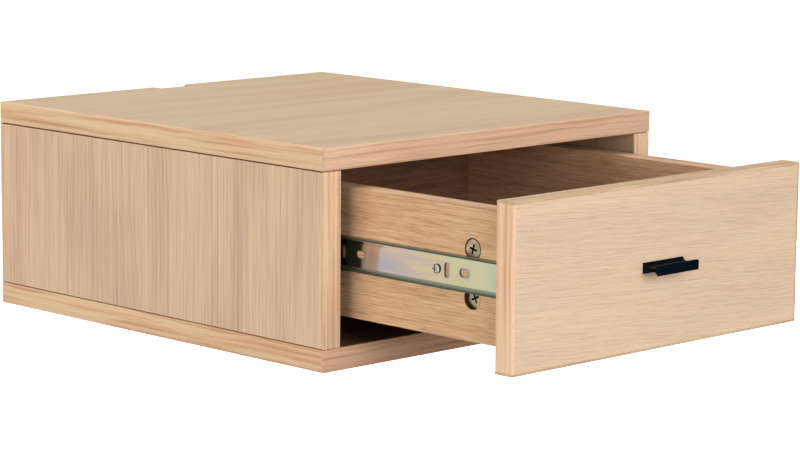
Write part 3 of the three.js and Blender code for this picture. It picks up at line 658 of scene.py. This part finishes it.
def cam_zinc(node):
    """Die-cast zinc of a cam lock, with painted shade in the cross and in the mouth."""
    look = zinc(f"{node}_zinc", CAM_TONES, CAM_ROUGHNESS, CAM_PATCH_SCALES)
    face = max(abs(corner.x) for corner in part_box(node))
    # Painted shade on all that lies deeper than the face: the cross, the mouth and the sides
    sunk = look.math("LESS_THAN", look.math("ABSOLUTE", look.axes()["X"]), face - CAM_FACE_SKIN)
    look.paint(look.mix(sunk, look.colour, CAM_RECESS_SHADE_TONE))
    return look


def black_coat():
    """Black powder coat of the handle."""
    look = Look("black_coat")
    powder = look.noise(look.point, scale=BLACK_SCALE)
    look.paint(look.mix(powder, *BLACK_TONES))
    look.set(Roughness=look.math("MULTIPLY_ADD", powder, BLACK_POWDER_ROUGHNESS, BLACK_ROUGHNESS))
    look.set(Specular_IOR_Level=BLACK_SPECULAR)
    look.bump(powder, BLACK_DEPTH, BLACK_STRENGTH)
    return look


def dress_hardware():
    slides = {kind: slide_zinc(kind) for kind in ("cabinet", "middle", "drawer")}
    steel = zinc("plated_steel", STEEL_TONES, STEEL_ROUGHNESS)
    heads = pan_steel()
    cage = zinc("cage_steel", CAGE_TONES, CAGE_ROUGHNESS)
    dowel = wood("beech", "Z", "X", DOWEL_TONES, BAND_GRAIN)
    for name in nodes:
        if "_member_" in name:
            cover(name, slides[name.split("_")[0]])
        elif "cage" in name:
            cover(name, cage)
        elif name.startswith("drawer_screw"):
            cover(name, heads)
        elif any(word in name for word in ("screw", "bolt", "hanger")):
            cover(name, steel)
        elif name.startswith("cam_"):
            cover(name, cam_zinc(name))
        elif name.startswith("dowel"):
            cover(name, dowel)
    cover("handle", black_coat())


# Edges

WELD_DISTANCE = 0.004 * MM
SMOOTH_BELOW = math.radians(38)
BEVELLED = ("drawer_front", "drawer_back", "top_panel", "bottom_panel", "back_panel")
BEVEL_WIDTH = 0.3 * MM
BEVEL_SEGMENTS = 2
BEVEL_ABOVE = math.radians(50)


def smooth_group():
    """Geometry nodes that join a mesh's corners and shade its round stretches smooth."""
    group = bpy.data.node_groups.new("smooth_rounds", "GeometryNodeTree")
    for way in ("INPUT", "OUTPUT"):
        group.interface.new_socket("Geometry", in_out=way, socket_type="NodeSocketGeometry")
    tree = Tree(group)
    entry = tree.add("NodeGroupInput")
    weld = tree.add("GeometryNodeMergeByDistance")
    faces = tree.add("GeometryNodeSetShadeSmooth")
    edges = tree.add("GeometryNodeSetShadeSmooth", domain="EDGE")
    angle = tree.add("GeometryNodeInputMeshEdgeAngle")
    leave = tree.add("NodeGroupOutput")
    tree.fill(weld, Geometry=entry.outputs[0], Distance=WELD_DISTANCE)
    tree.fill(faces, Geometry=weld.outputs[0])
    rounded = tree.math("LESS_THAN", angle.outputs["Unsigned Angle"], SMOOTH_BELOW)
    tree.fill(edges, Geometry=faces.outputs[0], Shade_Smooth=rounded)
    tree.fill(leave, Geometry=edges.outputs[0])
    return group


def soften_edges():
    group = smooth_group()
    for name, piece in nodes.items():
        rounds = piece.modifiers.new("rounds", "NODES")
        rounds.node_group = group
        if name in BEVELLED:
            bevel = piece.modifiers.new("arris", "BEVEL")
            bevel.width = BEVEL_WIDTH
            bevel.segments = BEVEL_SEGMENTS
            bevel.limit_method = "ANGLE"
            bevel.angle_limit = BEVEL_ABOVE


# Studio

WHITE = (1.0, 1.0, 1.0)

# Floor: its depth under the part, and half its width
FLOOR_DROP = 0.42
FLOOR_HALF = 30.0
FLOOR_TONES = ((0.86, 0.86, 0.86), (0.9, 0.9, 0.9))
FLOOR_SCALE = 2.0
FLOOR_ROUGHNESS = 0.9

# Sky light that sets in over the horizon, and what bright metal mirrors from the left to the right
SKY_RISE = (-0.05, 0.5)
SKY_STRENGTH = 0.16
MIRRORED_SPAN = (-0.5, 0.4)
MIRRORED_LEFT = 0.95
MIRRORED_RIGHT = 0.15

# Soft boxes: place, size, watts, colour, and whether bright metal mirrors them
LAMPS = {
    "front_box": ((-0.5, -3.1, 0.65), (2.2, 2.1), 81, (0.98, 1.0, 1.03), True),
    "left_box": ((-3.0, 0.3, 0.2), (4.0, 0.7), 69, (1.03, 1.0, 0.95), False),
    "top_box": ((0.3, 0.3, 2.4), (2.2, 2.2), 50, WHITE, True),
    "right_box": ((2.6, 1.5, 0.0), (2.6, 0.6), 34, WHITE, False),
}

# Camera place, its turns about X, Y and Z in degrees, and its lens in millimetres
CAMERA_PLACE = (-1.7319, -2.0657, 0.4653)
CAMERA_TURNS = (81.0225, -0.4619, -44.3537)
CAMERA_LENS = 134.85
SENSOR_WIDTH = 36.0
CLIP_END = 100.0


def make_floor(low):
    data = bpy.data.meshes.new("floor")
    signs = ((-1, -1), (1, -1), (1, 1), (-1, 1))
    corners = [(x * FLOOR_HALF, y * FLOOR_HALF, low.z - FLOOR_DROP) for x, y in signs]
    data.from_pydata(corners, [], [(0, 1, 2, 3)])
    floor = bpy.data.objects.new("floor", data)
    look = Look("floor")
    look.paint(look.mix(look.noise(look.point, scale=FLOOR_SCALE), *FLOOR_TONES))
    look.set(Roughness=FLOOR_ROUGHNESS, Specular_IOR_Level=0.0)
    look.set(Emission_Color=(*WHITE, 1.0), Emission_Strength=1.0)
    data.materials.append(look.material)
    bpy.context.collection.objects.link(floor)
    floor.visible_diffuse = False
    floor.visible_glossy = False


def make_world():
    """White ground with soft light from above; bright metal mirrors a pale left and a dark right."""
    world = bpy.data.worlds.new("studio")
    world.use_nodes = True
    tree = Tree(world.node_tree)
    place = tree.add("ShaderNodeTexCoord")
    parts = tree.split(place.outputs["Generated"])
    ray = tree.add("ShaderNodeLightPath")
    sky = tree.span(parts["Z"], *SKY_RISE, 0.0, SKY_STRENGTH)
    mirrored = tree.span(parts["X"], *MIRRORED_SPAN, MIRRORED_LEFT, MIRRORED_RIGHT)
    strength = tree.choose(ray.outputs["Is Glossy Ray"], sky, mirrored)
    strength = tree.choose(ray.outputs["Is Camera Ray"], strength, 1.0)
    tree.fill(world.node_tree.nodes["Background"], Color=(*WHITE, 1.0), Strength=strength)
    bpy.context.scene.world = world


def soft_box(name, aim, place, size, power, colour, mirrored):
    """Area light that looks from its place to aim."""
    data = bpy.data.lights.new(name, "AREA")
    data.shape = "RECTANGLE"
    data.size, data.size_y = size
    data.energy = power
    data.color = colour
    lamp = bpy.data.objects.new(name, data)
    lamp.location = place
    lamp.rotation_euler = (aim - Vector(place)).to_track_quat("-Z", "Y").to_euler()
    lamp.visible_glossy = mirrored
    bpy.context.collection.objects.link(lamp)


def make_studio():
    low, high = cad_box
    make_floor(low)
    make_world()
    bpy.context.scene.view_settings.view_transform = "Standard"
    for name, values in LAMPS.items():
        soft_box(name, (low + high) / 2, *values)


def make_camera():
    data = bpy.data.cameras.new("camera")
    data.lens = CAMERA_LENS
    data.sensor_width = SENSOR_WIDTH
    data.clip_end = CLIP_END
    camera = bpy.data.objects.new("camera", data)
    camera.location = CAMERA_PLACE
    camera.rotation_euler = Euler([math.radians(turn) for turn in CAMERA_TURNS], "XYZ")
    bpy.context.collection.objects.link(camera)
    bpy.context.scene.camera = camera


make_camera()
dress_carcass()
dress_drawer()
dress_hardware()
soften_edges()
make_studio()
